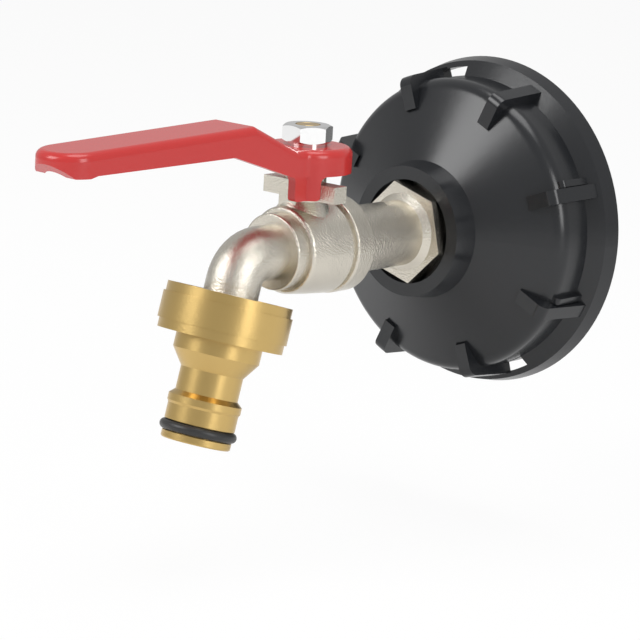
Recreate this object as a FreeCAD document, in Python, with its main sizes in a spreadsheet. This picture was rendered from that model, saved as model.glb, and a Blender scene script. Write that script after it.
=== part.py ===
import FreeCAD, Part
import math
import os
import Sketcher

# IBC tank adapter tap: a screw cap for the tank outlet, a nickel-plated ball valve
# with a bent spout, a red stop lever and a brass quick connector on the outlet.
# +Z is up along the valve stem. The water flows along -Y. The origin is the centre
# of the cap's rear mouth. Every size is in millimetres.

doc = FreeCAD.newDocument("ibc_tank_valve")
sheet = doc.addObject("Spreadsheet::Sheet", "Dims")

VALUES = {
    # plastic screw cap
    "cap_rim_rear_radius": 42.1,
    "cap_rim_front_radius": 41.2,
    "cap_rim_depth": 4.25,
    "cap_rim_root_depth": 6.5,
    "cap_skirt_radius": 37.3,
    "cap_skirt_front_depth": 13.8,
    "cap_shoulder_radius": 4.25,
    "cap_shoulder_end_radius": 34.87,
    "cap_shoulder_end_depth": 17.64,
    "cap_cone_end_depth": 25.9,
    "cap_hub_depth": 32.0,
    "cap_hub_radius": 16.4,
    "cap_hub_base_radius": 17.4,
    "cap_recess_radius": 13.1,
    "cap_recess_floor_depth": 27.0,
    "cap_thread_radius": 30.0,
    "cap_thread_length": 11.5,
    "cap_floor_radius": 30.6,
    "cap_floor_depth": 15.6,
    "cap_seat_inner_radius": 20.5,
    "cap_boss_radius": 14.5,
    "cap_boss_root_depth": 19.6,
    "cap_boss_depth": 12.8,
    "cap_rib_count": 8,
    "cap_rib_phase": 20.0,
    "cap_rib_width": 3.55,
    "cap_rib_top_radius": 40.3,
    "cap_rib_top_fall": 1.3,
    "cap_rib_nose_depth": 20.5,
    "cap_rib_nose_round": 2.5,
    "cap_catch_width": 1.65,
    "cap_catch_top_radius": 38.7,
    "cap_catch_depth": 15.5,
    "cap_catch_lead": 4.3,
    "cap_window_inner_radius": 37.4,
    "cap_window_outer_radius": 39.7,
    "cap_window_angle": 14.2,
    "cap_window_first": 104.5,
    "cap_window_second": 294.3,
    # seals in the cap
    "tank_gasket_outer_radius": 29.7,
    "tank_gasket_inner_radius": 21.0,
    "tank_gasket_thick": 3.0,
    "inlet_seal_outer_radius": 12.2,
    "inlet_seal_thick": 1.4,
    # tailpiece: thread, hexagon, pipe and flange
    "inlet_thread_radius": 10.48,
    "thread_gap": 0.05,
    "tail_end_depth": 12.4,
    "hex_flats": 22.3,
    "hex_front_depth": 33.8,
    "hex_turn": 14.3,
    "pipe_radius": 8.2,
    "bore_radius": 4.75,
    "flange_radius": 11.85,
    "flange_rear_depth": 57.9,
    "seam_depth": 59.0,
    "spigot_radius": 9.5,
    "spigot_nose_depth": 62.7,
    # cast valve body
    "ring_front_depth": 63.3,
    "barrel_groove_radius": 10.9,
    "barrel_rear_depth": 64.5,
    "barrel_rear_radius": 11.6,
    "barrel_middle_radius": 11.05,
    "barrel_middle_depth": 72.0,
    "barrel_front_radius": 10.5,
    "barrel_front_depth": 77.8,
    "barrel_edge_radius": 1.0,
    "collar_radius": 9.15,
    "collar_front_depth": 81.5,
    "cavity_radius": 8.35,
    "cavity_front_depth": 78.7,
    "stem_depth": 70.7,
    "spout_radius": 6.55,
    "spout_corner_depth": 92.0,
    "spout_bend_radius": 8.0,
    "spout_tilt": 15.7,
    "nut_top_drop": 9.1,
    "boss_radius": 5.1,
    "boss_top_height": 19.4,
    "lug_bottom_height": 12.9,
    "lug_top_height": 16.9,
    "closed_lug_reach": 8.4,
    "closed_lug_face": 5.3,
    "open_lug_reach": 14.0,
    "open_lug_face": 5.1,
    "lug_width": 4.2,
    "web_edge": 3.3,
    # ball, seats and stem
    "ball_radius": 7.75,
    "ball_gap": 0.05,
    "seat_length": 3.6,
    "seat_radius": 8.3,
    "ball_flat_height": 7.3,
    "tongue_bottom_height": 5.9,
    "tongue_width": 2.4,
    "tongue_length": 6.6,
    "stem_radius": 3.2,
    "stem_gap": 0.05,
    "stem_collar_radius": 4.1,
    "stem_collar_bottom": 7.8,
    "stem_collar_top": 9.4,
    "thrust_washer_thick": 0.8,
    "stem_round_top": 20.6,
    "stem_thread_radius": 3.0,
    "stem_flats": 4.6,
    "stem_end_height": 29.7,
    "stem_ring_radius": 0.55,
    "stem_ring_low": 12.2,
    "stem_ring_high": 15.2,
    # lever, washer and nut
    "lever_top_height": 24.9,
    "lever_hub_radius": 10.97,
    "lever_skirt_bottom": 18.8,
    "lever_half_width": 7.6,
    "lever_wall": 2.25,
    "lever_roof": 2.6,
    "lever_edge_round": 1.8,
    "lever_corner_round": 3.0,
    "lever_kink_depth": 96.0,
    "lever_kink_height": 31.7,
    "lever_tip_depth": 154.2,
    "lever_tip_height": 29.4,
    "tab_bottom_height": 13.1,
    "tab_rear": 5.15,
    "tab_front": 11.7,
    "tab_corner_round": 1.0,
    "tab_flare_round": 1.6,
    "washer_radius": 4.9,
    "washer_thick": 0.7,
    "lever_nut_flats": 10.7,
    "lever_nut_thick": 4.1,
    "lever_nut_turn": -4.0,
    # brass hose connector, sizes along its own axis from its top edge
    "connector_collar_radius": 14.95,
    "connector_collar_length": 2.3,
    "connector_knurl_radius": 15.45,
    "connector_knurl_end": 8.65,
    "connector_nut_length": 10.9,
    "connector_body_radius": 10.3,
    "connector_body_end": 14.5,
    "connector_cone_end": 18.5,
    "connector_neck_radius": 7.45,
    "connector_neck_end": 24.05,
    "connector_latch_radius": 8.74,
    "connector_latch_start": 25.2,
    "connector_latch_end": 26.8,
    "connector_plug_radius": 8.4,
    "connector_groove_start": 31.1,
    "connector_groove_end": 33.9,
    "connector_groove_radius": 6.75,
    "connector_tip_length": 35.6,
    "connector_bore_radius": 5.0,
    "outlet_thread_radius": 13.22,
    "outlet_thread_start": 0.8,
    "outlet_thread_end": 6.9,
    "connector_seat_depth": 8.9,
    "hose_ring_radius": 1.22,
}


class Dim:
    """A number from the sheet together with the expression that gives it."""

    def __init__(self, text, value):
        self.text = text
        self.value = value

    def _join(self, sign, left, right, value):
        return Dim("(%s %s %s)" % (left, sign, right), value)

    def __add__(self, other):
        other = as_dim(other)
        return self._join("+", self.text, other.text, self.value + other.value)

    def __radd__(self, other):
        return as_dim(other) + self

    def __sub__(self, other):
        other = as_dim(other)
        return self._join("-", self.text, other.text, self.value - other.value)

    def __rsub__(self, other):
        return as_dim(other) - self

    def __mul__(self, other):
        other = as_dim(other)
        return self._join("*", self.text, other.text, self.value * other.value)

    def __rmul__(self, other):
        return as_dim(other) * self

    def __neg__(self):
        return as_dim(0) - self


def as_dim(number):
    if isinstance(number, Dim):
        return number
    return Dim("(%s)" % repr(float(number)), float(number))


def dim(alias):
    return Dim("Dims." + alias, VALUES[alias])


for row, (alias, number) in enumerate(VALUES.items(), start=1):
    sheet.set("A%d" % row, alias)
    sheet.set("B%d" % row, repr(number))
    sheet.setAlias("B%d" % row, alias)
doc.recompute()


def bind(obj, prop, number):
    """Tie one property of an object to the sheet."""
    number = as_dim(number)
    obj.setExpression(prop, number.text)


def place(obj, x=0, y=0, z=0, axis=(0, 0, 1), turn=0):
    """Turn an object about an axis and tie its position to the sheet."""
    spot = [as_dim(value) for value in (x, y, z)]
    base = FreeCAD.Vector(*[value.value for value in spot])
    obj.Placement = FreeCAD.Placement(base, FreeCAD.Rotation(FreeCAD.Vector(*axis), turn))
    for name, value in zip("xyz", spot):
        bind(obj, "Placement.Base." + name, value)
    return obj


def set_down(obj, placement):
    """Give an object a fixed placement in place of the one tied to the sheet."""
    for name in "xyz":
        obj.setExpression("Placement.Base." + name, None)
    obj.Placement = placement
    return obj


def cylinder(label, radius, height, **where):
    obj = doc.addObject("Part::Cylinder", label)
    bind(obj, "Radius", radius)
    bind(obj, "Height", height)
    return place(obj, **where)


def box(label, length, width, height, **where):
    obj = doc.addObject("Part::Box", label)
    bind(obj, "Length", length)
    bind(obj, "Width", width)
    bind(obj, "Height", height)
    return place(obj, **where)


def torus(label, ring, section, **where):
    obj = doc.addObject("Part::Torus", label)
    bind(obj, "Radius1", ring)
    bind(obj, "Radius2", section)
    return place(obj, **where)


def hexagon(label, flats, height, **where):
    obj = doc.addObject("Part::Prism", label)
    obj.Polygon = 6
    bind(obj, "Circumradius", as_dim(flats) * (1 / math.sqrt(3)))
    bind(obj, "Height", height)
    return place(obj, **where)


def fuse(label, parts):
    obj = doc.addObject("Part::MultiFuse", label)
    obj.Shapes = parts
    obj.Refine = True
    return obj


def cut(label, base, tool):
    obj = doc.addObject("Part::Cut", label)
    obj.Base = base
    obj.Tool = tool
    return obj


def common(label, first, second):
    obj = doc.addObject("Part::MultiCommon", label)
    obj.Shapes = [first, second]
    return obj


def corner(point):
    return FreeCAD.Vector(as_dim(point[0]).value, as_dim(point[1]).value, 0)


def arc_through(start, end, radius, side):
    """Arc from start to end. Side +1 puts its centre left of that direction."""
    chord = end - start
    middle = (start + end) * 0.5
    rise = math.sqrt(max(radius ** 2 - (chord.Length / 2) ** 2, 0))
    normal = FreeCAD.Vector(-chord.y, chord.x, 0).normalize()
    centre = middle + normal * rise * side
    bulge = centre - normal * radius * side
    return Part.ArcOfCircle(start, bulge, end)


def outline(sketch, points):
    """Closed outline. A point is (x, y), or (x, y, radius, side) when the edge that
    ends there is an arc. Every corner is tied to the sheet."""
    count = len(points)
    for index, point in enumerate(points):
        start = corner(points[index - 1])
        end = corner(point)
        if len(point) == 4:
            arc = arc_through(start, end, as_dim(point[2]).value, point[3])
            sketch.addGeometry(arc, False)
        else:
            sketch.addGeometry(Part.LineSegment(start, end), False)
    for index, point in enumerate(points):
        following = (index + 1) % count
        end_mark = 2
        start_mark = 1
        if len(point) == 4 and point[3] < 0:
            end_mark = 1
        if len(points[following]) == 4 and points[following][3] < 0:
            start_mark = 2
        sketch.addConstraint(Sketcher.Constraint(
            "Coincident", index, end_mark, following, start_mark))
        for kind, value in (("DistanceX", point[0]), ("DistanceY", point[1])):
            value = as_dim(value)
            number = sketch.addConstraint(Sketcher.Constraint(
                kind, -1, 1, index, end_mark, value.value))
            sketch.setExpression("Constraints[%d]" % number, value.text)
        if len(point) == 4:
            value = as_dim(point[2])
            number = sketch.addConstraint(Sketcher.Constraint("Radius", index, value.value))
            sketch.setExpression("Constraints[%d]" % number, value.text)


def origin_plane(body, role):
    for feature in body.Origin.OriginFeatures:
        if feature.Role == role:
            return feature
    raise RuntimeError("no plane " + role)


def body_sketch(body, role, points):
    sketch = body.newObject("Sketcher::SketchObject", body.Label + "_outline")
    sketch.AttachmentSupport = [(origin_plane(body, role), "")]
    sketch.MapMode = "FlatFace"
    outline(sketch, points)
    return sketch


def revolved(label, role, points, **where):
    """Turned piece. On XY_Plane the outline holds (radius, y) about the Y axis, and on
    XZ_Plane it holds (radius, z) about the Z axis."""
    body = doc.addObject("PartDesign::Body", label)
    sketch = body_sketch(body, role, points)
    turned = body.newObject("PartDesign::Revolution", label + "_turned")
    turned.Profile = sketch
    turned.ReferenceAxis = (sketch, ["V_Axis"])
    turned.Angle = 360
    body.Tip = turned
    return place(body, **where)


def padded(label, role, points, depth, **where):
    """Flat outline with the same thickness on each side of its plane."""
    body = doc.addObject("PartDesign::Body", label)
    sketch = body_sketch(body, role, points)
    pad = body.newObject("PartDesign::Pad", label + "_pad")
    pad.Profile = sketch
    pad.SideType = "Symmetric"
    bind(pad, "Length", depth)
    body.Tip = pad
    return place(body, **where)


def rounded(label, base, radius, chosen):
    """Round the edges for which chosen(edge) is true."""
    doc.recompute()
    obj = doc.addObject("Part::Fillet", label)
    obj.Base = base
    size = as_dim(radius).value
    obj.Edges = [
        (number, size, size)
        for number, edge in enumerate(base.Shape.Edges, start=1)
        if chosen(edge)
    ]
    return obj


def name_node(obj, node):
    obj.Label = node
    nodes.append((node, obj))


nodes = []
stem_y = -dim("stem_depth")


# ---- screw cap: coned shell, eight grip bars, four catches, two slots through the rim ----

shell = revolved("cap_shell", "XY_Plane", [
    (dim("cap_thread_radius"), 0),
    (dim("cap_rim_rear_radius"), 0),
    (dim("cap_rim_front_radius"), -dim("cap_rim_depth")),
    (dim("cap_skirt_radius"), -dim("cap_rim_root_depth")),
    (dim("cap_skirt_radius"), -dim("cap_skirt_front_depth")),
    (dim("cap_shoulder_end_radius"), -dim("cap_shoulder_end_depth"), dim("cap_shoulder_radius"), -1),
    (dim("cap_hub_base_radius"), -dim("cap_cone_end_depth")),
    (dim("cap_hub_radius"), -dim("cap_hub_depth")),
    (dim("cap_recess_radius"), -dim("cap_hub_depth")),
    (dim("cap_recess_radius"), -dim("cap_recess_floor_depth")),
    (dim("inlet_thread_radius") + dim("thread_gap"), -dim("cap_recess_floor_depth")),
    (dim("inlet_thread_radius") + dim("thread_gap"), -dim("cap_boss_depth")),
    (dim("cap_boss_radius"), -dim("cap_boss_depth")),
    (dim("cap_boss_radius"), -dim("cap_boss_root_depth")),
    (dim("cap_seat_inner_radius"), -dim("cap_floor_depth")),
    (dim("cap_floor_radius"), -dim("cap_floor_depth")),
    (dim("cap_floor_radius"), -dim("cap_thread_length") - 0.6),
    (dim("cap_thread_radius"), -dim("cap_thread_length")),
])

rib_root = dim("cap_shoulder_end_radius") - 4.5
rib_front = dim("cap_rib_top_radius") - dim("cap_rib_top_fall")
rib_round = dim("cap_rib_nose_round")
rib_envelope = revolved("cap_rib_envelope", "XY_Plane", [
    (rib_root, -dim("cap_rim_depth")),
    (dim("cap_rib_top_radius"), -dim("cap_rim_depth")),
    (rib_front, rib_round - dim("cap_rib_nose_depth")),
    (rib_front - rib_round, -dim("cap_rib_nose_depth"), rib_round, -1),
    (rib_root, -dim("cap_rib_nose_depth")),
])
catch_envelope = revolved("cap_catch_envelope", "XY_Plane", [
    (rib_root, -dim("cap_rim_depth")),
    (dim("cap_catch_top_radius"), -dim("cap_rim_depth")),
    (dim("cap_catch_top_radius"), 1.2 - dim("cap_catch_depth")),
    (dim("cap_catch_top_radius") - 1.2, -dim("cap_catch_depth"), 1.2, -1),
    (rib_root, -dim("cap_catch_depth")),
])


def bars_around(label, width, lead, places):
    """Radial bars as long as the cap, at the chosen places of its even round of eight."""
    bars = []
    step = 360.0 / VALUES["cap_rib_count"]
    for index in places:
        angle = VALUES["cap_rib_phase"] + lead + step * index
        bar = box("%s_%d" % (label, index), 12, dim("cap_cone_end_depth"), width)
        turn = FreeCAD.Rotation(FreeCAD.Vector(0, 1, 0), -angle)
        start = turn.multVec(FreeCAD.Vector(
            VALUES["cap_shoulder_end_radius"] - 4.8, -VALUES["cap_cone_end_depth"],
            -as_dim(width).value / 2))
        bars.append(set_down(bar, FreeCAD.Placement(start, turn)))
    return fuse(label, bars)


ribs = common("cap_ribs", bars_around(
    "cap_bar", dim("cap_rib_width"), 0, range(VALUES["cap_rib_count"])), rib_envelope)
catches = common("cap_catches", bars_around(
    "cap_catch_bar", dim("cap_catch_width"), VALUES["cap_catch_lead"], (0, 3, 4, 7)), catch_envelope)
ribbed = fuse("cap_ribbed", [shell, ribs, catches])


def window(name):
    """One curved slot through the rim, beside a grip bar."""
    half = VALUES["cap_window_angle"] / 2
    shapes = []
    for part, radius in (("outer", "cap_window_outer_radius"), ("inner", "cap_window_inner_radius")):
        wedge = doc.addObject("Part::Cylinder", "%s_%s" % (name, part))
        bind(wedge, "Radius", dim(radius))
        bind(wedge, "Height", dim("cap_rim_root_depth") + 0.3)
        bind(wedge, "Angle", dim("cap_window_angle"))
        tilt = FreeCAD.Rotation(FreeCAD.Vector(1, 0, 0), 90)
        spin = FreeCAD.Rotation(FreeCAD.Vector(0, 1, 0), half - VALUES[name])
        wedge.Placement = FreeCAD.Placement(FreeCAD.Vector(0, 0.1, 0), spin.multiply(tilt))
        shapes.append(wedge)
    return cut(name + "_slot", shapes[0], shapes[1])


windows = fuse("cap_windows", [window("cap_window_first"), window("cap_window_second")])
name_node(cut("cap_finished", ribbed, windows), "screw_cap")

name_node(revolved("gasket_turned", "XY_Plane", [
    (dim("tank_gasket_inner_radius"), -dim("cap_floor_depth")),
    (dim("tank_gasket_outer_radius"), -dim("cap_floor_depth")),
    (dim("tank_gasket_outer_radius"), dim("tank_gasket_thick") - dim("cap_floor_depth")),
    (dim("tank_gasket_inner_radius"), dim("tank_gasket_thick") - dim("cap_floor_depth")),
]), "tank_gasket")

seal_front = -dim("cap_recess_floor_depth") - dim("inlet_seal_thick")
name_node(revolved("inlet_seal_turned", "XY_Plane", [
    (dim("inlet_thread_radius") + dim("thread_gap"), seal_front),
    (dim("inlet_seal_outer_radius"), seal_front),
    (dim("inlet_seal_outer_radius"), -dim("cap_recess_floor_depth")),
    (dim("inlet_thread_radius") + dim("thread_gap"), -dim("cap_recess_floor_depth")),
]), "inlet_seal")


# ---- inlet tailpiece: threaded end, hexagon, round pipe and screwed flange ----

turned_tail = revolved("tail_turned", "XY_Plane", [
    (dim("bore_radius"), -dim("tail_end_depth")),
    (dim("inlet_thread_radius") - 1, -dim("tail_end_depth")),
    (dim("inlet_thread_radius"), -dim("tail_end_depth") - 1),
    (dim("inlet_thread_radius"), seal_front),
    (dim("pipe_radius") + 1.6, seal_front),
    (dim("pipe_radius") + 1.6, -dim("hex_front_depth")),
    (dim("pipe_radius"), -dim("hex_front_depth") - 1.4),
    (dim("pipe_radius"), -dim("flange_rear_depth")),
    (dim("flange_radius"), -dim("flange_rear_depth")),
    (dim("flange_radius"), -dim("seam_depth")),
    (dim("spigot_radius"), -dim("seam_depth")),
    (dim("spigot_radius"), -dim("spigot_nose_depth")),
    (dim("bore_radius"), -dim("spigot_nose_depth")),
])
hex_length = dim("hex_front_depth") + seal_front
hex_block = hexagon("tail_hexagon", dim("hex_flats"), hex_length)
hex_block.Placement = FreeCAD.Placement(
    FreeCAD.Vector(0, seal_front.value, 0),
    FreeCAD.Rotation(FreeCAD.Vector(0, 1, 0), -VALUES["hex_turn"] + 90).multiply(
        FreeCAD.Rotation(FreeCAD.Vector(1, 0, 0), 90)))
bind(hex_block, "Placement.Base.y", seal_front)
hex_hole = cylinder("tail_hexagon_hole", dim("pipe_radius"), hex_length + 2,
                    y=seal_front + 1, axis=(1, 0, 0), turn=90)
hex_ring = cut("tail_hexagon_ring", hex_block, hex_hole)
name_node(fuse("tail_finished", [turned_tail, hex_ring]), "inlet_tailpiece")

name_node(torus("tail_ring", dim("spigot_radius") + 0.75, 0.7,
                y=-dim("seam_depth") - 0.72, axis=(1, 0, 0), turn=90), "tailpiece_seal")


# ---- cast valve body: ring, barrel, collar, bent spout, stem boss and stop lugs ----

edge = dim("barrel_edge_radius")
barrel = revolved("body_barrel", "XY_Plane", [
    (dim("spigot_radius") + dim("thread_gap"), -dim("seam_depth")),
    (dim("flange_radius"), -dim("seam_depth")),
    (dim("flange_radius"), 0.6 - dim("ring_front_depth")),
    (dim("flange_radius") - 0.6, -dim("ring_front_depth"), 0.6, -1),
    (dim("barrel_groove_radius"), -dim("ring_front_depth")),
    (dim("barrel_groove_radius"), -dim("barrel_rear_depth")),
    (dim("barrel_rear_radius"), -dim("barrel_rear_depth") - 0.5),
    (dim("barrel_middle_radius"), -dim("barrel_middle_depth")),
    (dim("barrel_front_radius"), edge - dim("barrel_front_depth")),
    (dim("barrel_front_radius") - edge, -dim("barrel_front_depth"), edge, -1),
    (dim("collar_radius"), -dim("barrel_front_depth")),
    (dim("collar_radius"), 0.5 - dim("collar_front_depth")),
    (dim("collar_radius") - 0.5, -dim("collar_front_depth"), 0.5, -1),
    (dim("bore_radius"), -dim("collar_front_depth")),
    (dim("bore_radius"), -dim("cavity_front_depth")),
    (dim("cavity_radius"), -dim("cavity_front_depth")),
    (dim("cavity_radius"), -dim("spigot_nose_depth")),
    (dim("spigot_radius") + dim("thread_gap"), -dim("spigot_nose_depth")),
])

tilt = VALUES["spout_tilt"]
bend_turn = 90 - tilt
tangent = VALUES["spout_bend_radius"] * math.tan(math.radians(bend_turn / 2))
bend_start = VALUES["spout_corner_depth"] - tangent
down = FreeCAD.Vector(0, -math.sin(math.radians(tilt)), -math.cos(math.radians(tilt)))
outlet = FreeCAD.Vector(0, -VALUES["spout_corner_depth"], 0) + down * VALUES["nut_top_drop"]
outlet_frame = FreeCAD.Placement(outlet, FreeCAD.Rotation(FreeCAD.Vector(1, 0, 0), -tilt))


def along_outlet(obj, drop):
    """Stand a piece on the tilted outlet axis, its local +Z pointing back up the spout."""
    offset = FreeCAD.Placement(FreeCAD.Vector(0, 0, -drop), FreeCAD.Rotation())
    return set_down(obj, outlet_frame.multiply(offset))


def spout(label, radius, lead_in, drop):
    """Straight run, bend and slanted run of one radius, from the collar to the outlet."""
    straight = cylinder(label + "_straight", radius, bend_start - VALUES["collar_front_depth"] + lead_in,
                        y=-dim("collar_front_depth") + lead_in, axis=(1, 0, 0), turn=90)
    bend = torus(label + "_bend", dim("spout_bend_radius"), radius)
    bind(bend, "Angle3", 90 - dim("spout_tilt"))
    ring_to_bend = FreeCAD.Matrix(0, 0, 1, 0, 0, -1, 0, 0, 1, 0, 0, 0, 0, 0, 0, 1)
    set_down(bend, FreeCAD.Placement(
        FreeCAD.Vector(0, -bend_start, -VALUES["spout_bend_radius"]), FreeCAD.Rotation(ring_to_bend)))
    slant_length = VALUES["nut_top_drop"] - tangent + drop
    slant = along_outlet(cylinder(label + "_slant", radius, slant_length), drop)
    return [straight, bend, slant]


thread_start = VALUES["outlet_thread_start"]
thread_end = VALUES["outlet_thread_end"]
outlet_thread = along_outlet(cylinder(
    "outlet_thread", dim("outlet_thread_radius"),
    dim("outlet_thread_end") - dim("outlet_thread_start")), thread_end)
boss = cylinder("body_boss", dim("boss_radius"), dim("boss_top_height") - 7, y=stem_y, z=7)
boss_foot = doc.addObject("Part::Cone", "body_boss_foot")
bind(boss_foot, "Radius1", dim("boss_radius") + 2.2)
bind(boss_foot, "Radius2", dim("boss_radius"))
boss_foot.Height = 3.6
place(boss_foot, y=stem_y, z=8.2)
lug_height = dim("lug_top_height") - dim("lug_bottom_height")
closed_lug = box("closed_lug", dim("closed_lug_reach"), dim("lug_width"), lug_height,
                 x=-dim("closed_lug_reach"), y=stem_y - dim("closed_lug_face"), z=dim("lug_bottom_height"))
closed_web = box("closed_lug_web", dim("web_edge") + 2, dim("lug_width"), dim("lug_top_height") - 6,
                 x=-dim("web_edge"), y=stem_y - dim("closed_lug_face"), z=6)
open_lug = box("open_lug", dim("open_lug_reach"), dim("lug_width"), lug_height,
               y=stem_y - dim("open_lug_face"), z=dim("lug_bottom_height"))

cast = fuse("body_cast", [barrel, boss, boss_foot, closed_lug, closed_web, open_lug, outlet_thread]
            + spout("spout", dim("spout_radius"), 1.0, 2.0))
shaft_hole = cylinder("stem_hole", dim("stem_radius") + dim("stem_gap"), 22, y=stem_y, z=3)
collar_hole = cylinder("stem_collar_hole", dim("stem_collar_radius") + 0.3,
                       dim("stem_collar_top") + dim("thrust_washer_thick"), y=stem_y)
cavity_core = cylinder("cavity_core", dim("cavity_radius"),
                       dim("cavity_front_depth") - dim("spigot_nose_depth"),
                       y=-dim("spigot_nose_depth"), axis=(1, 0, 0), turn=90)
seal_groove = cylinder("body_seal_groove", dim("spigot_radius") + 1.55, 1.5,
                       y=-dim("seam_depth"), axis=(1, 0, 0), turn=90)
hollows = fuse("body_hollows", [shaft_hole, collar_hole, cavity_core, seal_groove]
               + spout("spout_bore", dim("bore_radius"), 3.0, thread_end))
name_node(cut("body_finished", cast, hollows), "valve_body")


# ---- ball and its two seats ----

ball_ball = doc.addObject("Part::Sphere", "ball_sphere")
bind(ball_ball, "Radius", dim("ball_radius"))
place(ball_ball, y=stem_y)
ball_bore = cylinder("ball_bore", dim("bore_radius"), 20, y=stem_y + 10, axis=(1, 0, 0), turn=90)
ball_top = box("ball_top", 20, 20, 5, x=-10, y=stem_y - 10, z=dim("ball_flat_height"))
ball_slot = box("ball_slot", 20, dim("tongue_width") + 0.1, 5, x=-10,
                y=stem_y - 0.5 * dim("tongue_width") - 0.05, z=dim("tongue_bottom_height") - 0.1)
name_node(cut("ball_finished", ball_ball, fuse("ball_cuts", [ball_bore, ball_top, ball_slot])), "ball")

seat_bore = dim("bore_radius") + 0.2
for node, direction in (("rear_seat", 1), ("front_seat", -1)):
    near = stem_y + direction * (8.0 - dim("seat_length"))
    far = stem_y + direction * 8.0
    ring = revolved(node + "_ring", "XY_Plane", [
        (seat_bore, near),
        (dim("seat_radius"), near),
        (dim("seat_radius"), far),
        (seat_bore, far),
    ])
    room = doc.addObject("Part::Sphere", node + "_ball_room")
    bind(room, "Radius", dim("ball_radius") + dim("ball_gap"))
    place(room, y=stem_y)
    name_node(cut(node + "_finished", ring, room), node)


# ---- stem: tongue, collar, shaft with two ring grooves, double flats and thread ----

ring_section = dim("stem_ring_radius")
groove_floor = dim("stem_radius") - 2 * ring_section
half_groove = ring_section + 0.1
stem_profile = [
    (0, dim("ball_flat_height")),
    (2.6, dim("ball_flat_height")),
    (2.6, dim("stem_collar_bottom")),
    (dim("stem_collar_radius"), dim("stem_collar_bottom")),
    (dim("stem_collar_radius"), dim("stem_collar_top")),
    (dim("stem_radius"), dim("stem_collar_top")),
]
for height in (dim("stem_ring_low"), dim("stem_ring_high")):
    stem_profile += [
        (dim("stem_radius"), height - half_groove),
        (groove_floor, height - half_groove),
        (groove_floor, height + half_groove),
        (dim("stem_radius"), height + half_groove),
    ]
stem_profile += [
    (dim("stem_radius"), dim("stem_round_top")),
    (dim("stem_thread_radius"), dim("stem_round_top")),
    (dim("stem_thread_radius"), dim("stem_end_height") - 0.4),
    (dim("stem_thread_radius") - 0.4, dim("stem_end_height")),
    (0, dim("stem_end_height")),
]
stem_turned = revolved("stem_turned", "XZ_Plane", stem_profile, y=stem_y)
tongue = box("stem_tongue", dim("tongue_length"), dim("tongue_width"),
             dim("stem_collar_bottom") - dim("tongue_bottom_height"),
             x=-0.5 * dim("tongue_length"), y=stem_y - 0.5 * dim("tongue_width"),
             z=dim("tongue_bottom_height"))
flats = []
for side in (1, -1):
    start = 0.5 * dim("stem_flats") if side > 0 else -0.5 * dim("stem_flats") - 3
    flats.append(box("stem_flat_%d" % (side + 1), 3, 8, dim("lever_top_height") - dim("stem_round_top"),
                     x=start, y=stem_y - 4, z=dim("stem_round_top")))
name_node(cut("stem_finished", fuse("stem_solid", [stem_turned, tongue]), fuse("stem_flats_cut", flats)),
          "stem")

name_node(revolved("thrust_turned", "XZ_Plane", [
    (dim("stem_radius") + 0.05, dim("stem_collar_top")),
    (dim("stem_collar_radius"), dim("stem_collar_top")),
    (dim("stem_collar_radius"), dim("stem_collar_top") + dim("thrust_washer_thick")),
    (dim("stem_radius") + 0.05, dim("stem_collar_top") + dim("thrust_washer_thick")),
], y=stem_y), "stem_thrust_washer")

for node, height in (("stem_o_ring_lower", "stem_ring_low"), ("stem_o_ring_upper", "stem_ring_high")):
    name_node(torus(node + "_ring", dim("stem_radius") - ring_section + 0.01, ring_section,
                    y=stem_y, z=dim(height)), node)


# ---- lever: pressed channel with a round hub, a raised grip and a stop tab ----

hub_front = dim("stem_depth") + 10.4
side_points = [
    (-dim("stem_depth") + 30, dim("lever_skirt_bottom")),
    (-dim("stem_depth") + 30, dim("lever_top_height")),
    (-hub_front, dim("lever_top_height")),
    (-dim("lever_kink_depth"), dim("lever_kink_height")),
    (-dim("lever_tip_depth"), dim("lever_tip_height")),
    (-dim("lever_tip_depth"), dim("lever_tip_height") - 2.6),
    (-dim("lever_tip_depth") + 3.4, dim("lever_tip_height") - 5.3),
    (-dim("lever_tip_depth") + 6.7, dim("lever_tip_height") - 5.3),
    (-dim("lever_tip_depth") + 8.8, dim("lever_tip_height") - 4.8),
    (-dim("lever_kink_depth") - 7, dim("lever_kink_height") - 6.5),
    (-dim("stem_depth") - 11.9, dim("lever_skirt_bottom")),
]
lever_side = padded("lever_side", "YZ_Plane", side_points, 40)
roof = dim("lever_roof")
wall = dim("lever_wall")
under_points = [
    (-dim("stem_depth") + 30, 0),
    (-dim("stem_depth") + 30, dim("lever_top_height") - roof),
    (-hub_front, dim("lever_top_height") - roof),
    (-dim("lever_kink_depth"), dim("lever_kink_height") - roof),
    (-dim("lever_tip_depth"), dim("lever_tip_height") - roof + 0.15),
    (-dim("lever_tip_depth"), 0),
]
lever_under = padded("lever_under", "YZ_Plane", under_points, 40)


def lever_plan(label, half, hub, tip, low, high):
    """Hub disc with a straight arm and a round tip, as one upright solid."""
    tall = high - low
    disc = cylinder(label + "_hub", hub, tall, y=stem_y, z=low)
    arm = box(label + "_arm", 2 * half, tip - half - dim("stem_depth"), tall,
              x=-half, y=half - tip, z=low)
    end = cylinder(label + "_tip", half, tall, y=half - tip, z=low)
    return fuse(label, [disc, arm, end])


outer_plan = lever_plan("lever_outer", dim("lever_half_width"), dim("lever_hub_radius"),
                        dim("lever_tip_depth"), as_dim(5), as_dim(40))
inner_plan = lever_plan("lever_inner", dim("lever_half_width") - wall, dim("lever_hub_radius") - wall - 0.2,
                        dim("lever_tip_depth") - wall, as_dim(2), as_dim(45))
blank = common("lever_blank", outer_plan, lever_side)


def is_top_rim(edge):
    """True for the upper outline of the blank, which the press leaves rounded."""
    heights = [vertex.Z for vertex in edge.Vertexes]
    box_of = edge.BoundBox
    if min(heights) < VALUES["lever_top_height"] - 0.01:
        return False
    crossing = box_of.YLength < 0.01 and box_of.XLength > 5
    return not crossing


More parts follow.
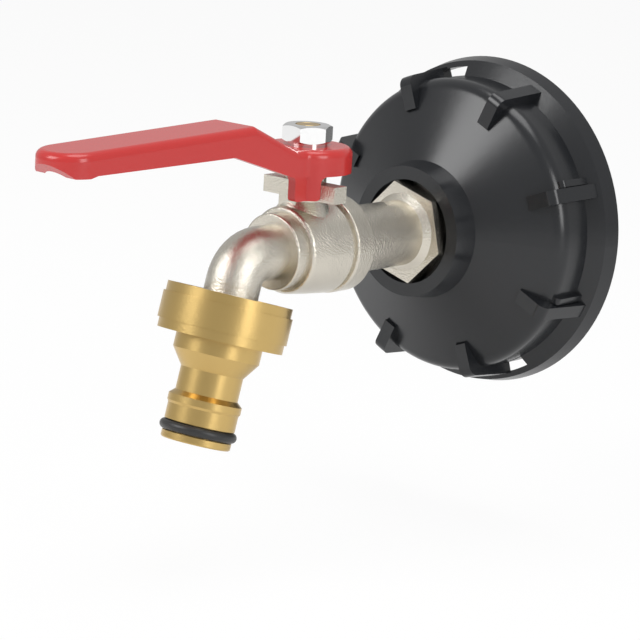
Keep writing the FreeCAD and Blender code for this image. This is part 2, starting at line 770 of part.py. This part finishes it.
def is_inner_corner(edge):
    """True for the two upright edges where the arm leaves the round hub."""
    box_of = edge.BoundBox
    reach = math.sqrt(VALUES["lever_hub_radius"] ** 2 - VALUES["lever_half_width"] ** 2)
    upright = box_of.ZLength > 3 and box_of.YLength < 0.01
    return upright and abs(box_of.YMin + VALUES["stem_depth"] + reach) < 0.02


smooth_blank = rounded("lever_smooth", blank, dim("lever_corner_round"), is_inner_corner)
soft_blank = rounded("lever_soft", smooth_blank, dim("lever_edge_round"), is_top_rim)
channel = common("lever_channel", inner_plan, lever_under)
shell_lever = cut("lever_shell", soft_blank, channel)
tab_front = -dim("stem_depth") - dim("tab_front")
tab_rear = -dim("stem_depth") - dim("tab_rear")
tab_bottom = dim("tab_bottom_height")
tab_round = dim("tab_corner_round")
tab_flare = dim("tab_flare_round")
tab_block = padded("lever_tab_block", "YZ_Plane", [
    (tab_rear + tab_flare, dim("lever_skirt_bottom") + 1),
    (tab_front - tab_flare, dim("lever_skirt_bottom") + 1),
    (tab_front - tab_flare, dim("lever_skirt_bottom") + 0.5),
    (tab_front, dim("lever_skirt_bottom") + 0.5 - tab_flare, tab_flare, -1),
    (tab_front, tab_bottom + tab_round),
    (tab_front + tab_round, tab_bottom, tab_round, 1),
    (tab_rear - tab_round, tab_bottom),
    (tab_rear, tab_bottom + tab_round, tab_round, 1),
    (tab_rear, dim("lever_skirt_bottom") - tab_flare),
    (tab_rear + tab_flare, dim("lever_skirt_bottom"), tab_flare, -1),
], 20, x=dim("lever_half_width") - wall + 10)
tab = cut("lever_tab", common("lever_tab_outer", tab_block, outer_plan), inner_plan)
far_side = padded("lever_far_side", "YZ_Plane", [
    (-dim("stem_depth") - 4, 10),
    (-dim("stem_depth") - 4, dim("lever_skirt_bottom")),
    (-dim("stem_depth") - 10, dim("lever_skirt_bottom") + 1.4),
    (-dim("stem_depth") - 16, dim("lever_skirt_bottom") + 3.3),
    (-dim("lever_kink_depth") - 5, dim("lever_kink_height") - 6.7),
    (-dim("lever_kink_depth") - 5, 10),
], 40, x=-20)
pad_block = cylinder("lever_stem_pad", 5.6, dim("lever_top_height") - roof - dim("stem_round_top"),
                     y=stem_y, z=dim("stem_round_top"))
stem_round = cylinder("lever_stem_round", dim("stem_thread_radius") + 0.05, 12, y=stem_y, z=18)
stem_slab = box("lever_stem_slab", dim("stem_flats") + 0.1, 10, 12,
                x=-0.5 * dim("stem_flats") - 0.05, y=stem_y - 5, z=18)
stem_eye = common("lever_stem_eye", stem_round, stem_slab)
trimmed_lever = cut("lever_trimmed", shell_lever, far_side)
name_node(cut("lever_finished", fuse("lever_solid", [trimmed_lever, tab, pad_block]), stem_eye), "lever")


# ---- washer and hexagon nut on the stem thread ----

washer_top = dim("lever_top_height") + dim("washer_thick")
name_node(revolved("washer_turned", "XZ_Plane", [
    (dim("stem_thread_radius") + 0.1, dim("lever_top_height")),
    (dim("washer_radius"), dim("lever_top_height")),
    (dim("washer_radius"), washer_top),
    (dim("stem_thread_radius") + 0.1, washer_top),
], y=stem_y), "lever_washer")

nut_block = hexagon("nut_hexagon", dim("lever_nut_flats"), dim("lever_nut_thick"),
                    y=stem_y, z=washer_top, turn=VALUES["lever_nut_turn"])
nut_round = revolved("nut_envelope", "XZ_Plane", [
    (dim("stem_thread_radius") + 0.03, washer_top),
    (0.5 * dim("lever_nut_flats"), washer_top),
    (0.5 * dim("lever_nut_flats") + 1, washer_top + 0.6),
    (0.5 * dim("lever_nut_flats") + 1, washer_top + dim("lever_nut_thick") - 0.6),
    (0.5 * dim("lever_nut_flats") - 0.2, washer_top + dim("lever_nut_thick")),
    (dim("stem_thread_radius") + 0.03, washer_top + dim("lever_nut_thick")),
], y=stem_y)
name_node(common("nut_finished", nut_block, nut_round), "lever_nut")


# ---- brass hose connector with its flat washer and hose ring ----

thread_room = dim("outlet_thread_radius") + dim("thread_gap")
connector = revolved("connector_turned", "XZ_Plane", [
    (thread_room, 0),
    (dim("connector_collar_radius"), 0),
    (dim("connector_collar_radius"), -dim("connector_collar_length")),
    (dim("connector_knurl_radius"), -dim("connector_collar_length")),
    (dim("connector_knurl_radius"), -dim("connector_knurl_end")),
    (dim("connector_collar_radius"), -dim("connector_knurl_end")),
    (dim("connector_collar_radius"), -dim("connector_nut_length")),
    (dim("connector_body_radius"), -dim("connector_nut_length")),
    (dim("connector_body_radius"), -dim("connector_body_end")),
    (dim("connector_neck_radius"), -dim("connector_cone_end")),
    (dim("connector_neck_radius"), -dim("connector_neck_end")),
    (dim("connector_latch_radius"), -dim("connector_latch_start")),
    (dim("connector_latch_radius"), -dim("connector_latch_end")),
    (dim("connector_plug_radius"), -dim("connector_latch_end") - 0.6),
    (dim("connector_plug_radius"), -dim("connector_groove_start")),
    (dim("connector_groove_radius"), -dim("connector_groove_start")),
    (dim("connector_groove_radius"), -dim("connector_groove_end")),
    (dim("connector_plug_radius") - 0.1, -dim("connector_groove_end")),
    (dim("connector_plug_radius") - 0.1, 0.3 - dim("connector_tip_length")),
    (dim("connector_plug_radius") - 0.4, -dim("connector_tip_length")),
    (dim("connector_bore_radius"), -dim("connector_tip_length")),
    (dim("connector_bore_radius"), -dim("connector_seat_depth")),
    (thread_room, -dim("connector_seat_depth")),
])
name_node(along_outlet(connector, 0), "hose_connector")

connector_washer = revolved("connector_washer_turned", "XZ_Plane", [
    (dim("connector_bore_radius") + 0.8, -dim("connector_seat_depth")),
    (dim("outlet_thread_radius") - 0.4, -dim("connector_seat_depth")),
    (dim("outlet_thread_radius") - 0.4, -dim("outlet_thread_end")),
    (dim("connector_bore_radius") + 0.8, -dim("outlet_thread_end")),
])
name_node(along_outlet(connector_washer, 0), "connector_washer")

ring_centre = 0.5 * (VALUES["connector_groove_start"] + VALUES["connector_groove_end"])
hose_ring = torus("hose_ring", dim("connector_groove_radius") + dim("hose_ring_radius") + 0.03,
                  dim("hose_ring_radius"))
name_node(along_outlet(hose_ring, ring_centre), "connector_o_ring")


# ---- checks and STEP files ----

doc.recompute()
for obj in doc.Objects:
    if "Invalid" in obj.State or "Error" in obj.State:
        raise RuntimeError("%s did not build: %s" % (obj.Label, obj.State))
os.makedirs("parts", exist_ok=True)
for node, obj in nodes:
    shape = obj.Shape
    if shape.isNull() or not shape.isValid():
        raise RuntimeError("%s has no valid shape" % node)
    shape.exportStep("parts/%s.step" % node)
    box_of = shape.BoundBox
    print("%-20s solids %d volume %9.1f  x %7.2f %7.2f  y %8.2f %8.2f  z %7.2f %7.2f" % (
        node, len(shape.Solids), shape.Volume, box_of.XMin, box_of.XMax,
        box_of.YMin, box_of.YMax, box_of.ZMin, box_of.ZMax))
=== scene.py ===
import bpy
from mathutils import Matrix, Vector

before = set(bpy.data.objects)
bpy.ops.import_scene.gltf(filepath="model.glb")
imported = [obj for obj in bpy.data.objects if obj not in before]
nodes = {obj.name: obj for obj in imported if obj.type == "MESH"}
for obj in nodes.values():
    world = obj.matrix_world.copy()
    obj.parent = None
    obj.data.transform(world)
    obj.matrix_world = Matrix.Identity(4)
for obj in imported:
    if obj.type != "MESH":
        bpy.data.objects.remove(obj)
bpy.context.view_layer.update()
scene = bpy.context.scene
scene.view_settings.view_transform = "Standard"


# ---- Table ----
# A wide matt table of pale board, on which nothing stands: the tap hangs over it.
# It glows white to the eye, and keeps a tenth of its own shade to hold the soft shadow.

TABLE_HEIGHT = -0.075
TABLE_SIZE = 6
TABLE_GLOW = 0.9


def new_material(name, colour, metal, rough):
    """A node material whose Principled shader has this colour, metal and roughness."""
    material = bpy.data.materials.new(name)
    material.use_nodes = True
    shader = material.node_tree.nodes["Principled BSDF"]
    shader.inputs["Base Color"].default_value = colour + (1,)
    shader.inputs["Metallic"].default_value = metal
    shader.inputs["Roughness"].default_value = rough
    return material, material.node_tree, shader


bpy.ops.object.select_all(action="DESELECT")
bpy.ops.mesh.primitive_plane_add(size=TABLE_SIZE, location=(0, 0, TABLE_HEIGHT))
table = bpy.context.object
table.name = "table"
table_white, tree, shader = new_material("table_white", (0.86, 0.86, 0.86), 0, 0.9)
seen = tree.nodes.new("ShaderNodeLightPath")
share = tree.nodes.new("ShaderNodeMath")
share.operation = "MULTIPLY"
share.inputs[1].default_value = TABLE_GLOW
glow = tree.nodes.new("ShaderNodeEmission")
mixer = tree.nodes.new("ShaderNodeMixShader")
tree.links.new(seen.outputs["Is Camera Ray"], share.inputs[0])
tree.links.new(share.outputs[0], mixer.inputs[0])
tree.links.new(shader.outputs[0], mixer.inputs[1])
tree.links.new(glow.outputs[0], mixer.inputs[2])
tree.links.new(mixer.outputs[0], tree.nodes["Material Output"].inputs["Surface"])
table.data.materials.append(table_white)


# ---- Room and lamps ----
# An even white room, seen at full strength and shining at about half of it.
# Three large soft lamps stand at the front left, at the right and overhead.

ROOM_LIGHT = 0.55
LAMP_AIM = Vector((0, -0.06, 0))
LAMPS = (
    # name, place, width, height, watts
    ("lamp_left", Vector((-0.35, -0.85, 0.55)), 0.5, 0.5, 4.6),
    ("lamp_right", Vector((0.95, -0.15, 0.35)), 0.35, 0.6, 3.4),
    ("lamp_above", Vector((0.1, 0.0, 1.0)), 0.6, 0.6, 4.0),
)

world = bpy.data.worlds.new("soft_room")
scene.world = world
world.use_nodes = True
room = world.node_tree
background = room.nodes["Background"]
background.inputs["Color"].default_value = (1, 1, 1, 1)
sees = room.nodes.new("ShaderNodeLightPath")
strength = room.nodes.new("ShaderNodeMath")
strength.operation = "MAXIMUM"
strength.inputs[1].default_value = ROOM_LIGHT
room.links.new(sees.outputs["Is Camera Ray"], strength.inputs[0])
room.links.new(strength.outputs[0], background.inputs["Strength"])

for name, place, width, height, watts in LAMPS:
    data = bpy.data.lights.new(name, "AREA")
    data.shape = "RECTANGLE"
    data.size = width
    data.size_y = height
    data.energy = watts
    lamp = bpy.data.objects.new(name, data)
    scene.collection.objects.link(lamp)
    lamp.location = place
    lamp.rotation_euler = (LAMP_AIM - place).to_track_quat("-Z", "Y").to_euler()


# ---- Camera ----
# A long lens at the front right, a little above the tap, turned by the axes below.
# The columns are the camera's right, its up and the way back from what it looks at.

CAMERA_PLACE = (0.4065, -0.5256, 0.1161)
CAMERA_AXES = Matrix((
    (0.7425, -0.1831, 0.6444),
    (0.6676, 0.1235, -0.7342),
    (0.0548, 0.9753, 0.2139),
))

eye = bpy.data.cameras.new("eye")
eye.lens = 146.2
eye.sensor_width = 36
camera = bpy.data.objects.new("eye", eye)
scene.collection.objects.link(camera)
camera.matrix_world = Matrix.Translation(CAMERA_PLACE) @ CAMERA_AXES.to_4x4()
scene.camera = camera


# ---- Screw cap ----
# The cap is one moulding of glossy black polypropylene with grip bars round its skirt.
# It screws onto the tank's outlet and carries the whole tap in its threaded hub.

GRAIN_HEIGHT = 0.0002
GRAIN_DETAIL = 4


def finish(name, colour, metal, rough, grain, depth):
    """A surface with fine unevenness: grain is its fineness and depth its share of height."""
    material, tree, shader = new_material(name, colour, metal, rough)
    place = tree.nodes.new("ShaderNodeTexCoord")
    noise = tree.nodes.new("ShaderNodeTexNoise")
    noise.inputs["Scale"].default_value = grain
    noise.inputs["Detail"].default_value = GRAIN_DETAIL
    bump = tree.nodes.new("ShaderNodeBump")
    bump.inputs["Strength"].default_value = depth
    bump.inputs["Distance"].default_value = GRAIN_HEIGHT
    tree.links.new(place.outputs["Object"], noise.inputs["Vector"])
    tree.links.new(noise.outputs["Fac"], bump.inputs["Height"])
    tree.links.new(bump.outputs["Normal"], shader.inputs["Normal"])
    return material


def dress(material, *names):
    """Give these nodes of the tap one finish, in place of the one they came with."""
    for name in names:
        slots = nodes[name].data.materials
        slots.clear()
        slots.append(material)


black = finish("moulded_black", (0.011, 0.012, 0.014), 0, 0.24, 420, 0.1)
dress(black, "screw_cap")


# ---- Gaskets and seals ----
# Flat and round rings of smooth black rubber, pressed in wherever two pieces meet:
# cap to tank, cap to tailpiece, tailpiece to body, stem to body and body to connector.

rubber = finish("rubber", (0.02, 0.02, 0.02), 0, 0.4, 900, 0.05)
dress(rubber, "tank_gasket", "inlet_seal", "tailpiece_seal", "stem_o_ring_lower",
      "stem_o_ring_upper", "connector_washer")


# ---- Tailpiece and valve body ----
# Two brass castings, machined where they fit, blasted elsewhere and plated with nickel.
# The tailpiece screws into the cap by its hexagon, and into the body by its flange.

nickel = finish("nickel", (0.66, 0.62, 0.54), 1, 0.25, 2400, 0.8)
dress(nickel, "inlet_tailpiece", "valve_body")


# ---- Ball seats and thrust washer ----
# White PTFE rings turned from rod. Two seats grip the ball from the front and the rear,
# and a thin washer lets the stem's collar turn under the body's boss.

white = finish("white_ptfe", (0.85, 0.85, 0.83), 0, 0.4, 900, 0.05)
dress(white, "rear_seat", "front_seat", "stem_thrust_washer")


# ---- Stem ----
# A turned brass pin that hangs by its collar inside the body. Its tongue turns the ball,
# and its flatted, threaded end comes up through the lever and the nut.

brass = finish("satin_brass", (0.60, 0.42, 0.16), 1, 0.3, 2000, 0.1)
dress(brass, "stem")


# ---- Lever ----
# A channel pressed from steel sheet, with its stop tab bent down beside the hub.
# It is coated in glossy red and sits on the flats of the stem.

red = finish("red_coat", (0.50, 0.03, 0.028), 0, 0.22, 300, 0.08)
dress(red, "lever")


# ---- Ball, lever washer and lever nut ----
# Bright plated pieces: the bored brass ball that shuts the water off, and the steel
# washer and hexagon nut that hold the lever down on the stem.

chrome = finish("chrome", (0.8, 0.8, 0.8), 1, 0.08, 300, 0.03)
dress(chrome, "ball", "lever_washer", "lever_nut")


# ---- Hose connector ----
# A brass turning that screws onto the spout's end, with a round plug for a hose coupling.
# One rubber ring sits in the plug's groove and seals it in the coupling.

dress(brass, "hose_connector")
dress(rubber, "connector_o_ring")
